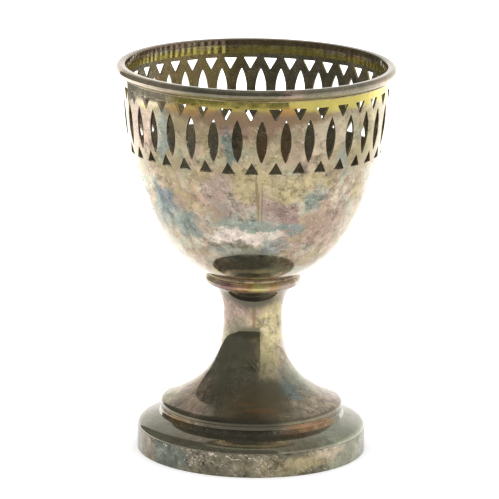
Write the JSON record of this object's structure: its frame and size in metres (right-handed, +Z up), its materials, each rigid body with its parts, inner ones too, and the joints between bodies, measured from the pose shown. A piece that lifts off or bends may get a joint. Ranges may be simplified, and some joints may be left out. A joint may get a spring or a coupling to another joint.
{
  "type": "sugar bowl",
  "caption": "Pierced silver-plated sugar bowl: deep egg-shaped bowl with a band of upright slots and triangles, moulded rim, trumpet stem and stepped round foot.",
  "frame": {"origin": "centre of the flat ring that the foot stands on", "axes": "+Z up along the axis of the bowl, -Y towards the front, +X to the right seen from the front"},
  "size_m": [0.0852, 0.0852, 0.12],
  "materials": {
    "bowl_silver": "polished silver plate with mottled, patchy tarnish",
    "rim_silver": "polished silver plate, dark tarnish",
    "collar_silver": "polished silver plate with amber tarnish",
    "stem_silver": "polished silver plate with mottled, patchy tarnish",
    "step_silver": "polished silver plate with brown tarnish",
    "foot_silver": "polished silver plate with olive tarnish",
    "foot_band_silver": "silver plate with speckled beige and olive tarnish",
    "solder": "dull grey solder"
  },
  "bodies": {
    "root": {"bowl": "bowl_silver", "rim_wire": "rim_silver", "collar": "collar_silver", "stem": "stem_silver", "step_ring": "step_silver", "foot_plate": "foot_silver", "foot_band": "foot_band_silver", "solder_rim": "solder", "solder_bowl": "solder", "solder_stem": "solder", "solder_step": "solder", "solder_foot": "solder"}
  },
  "joints": []
}
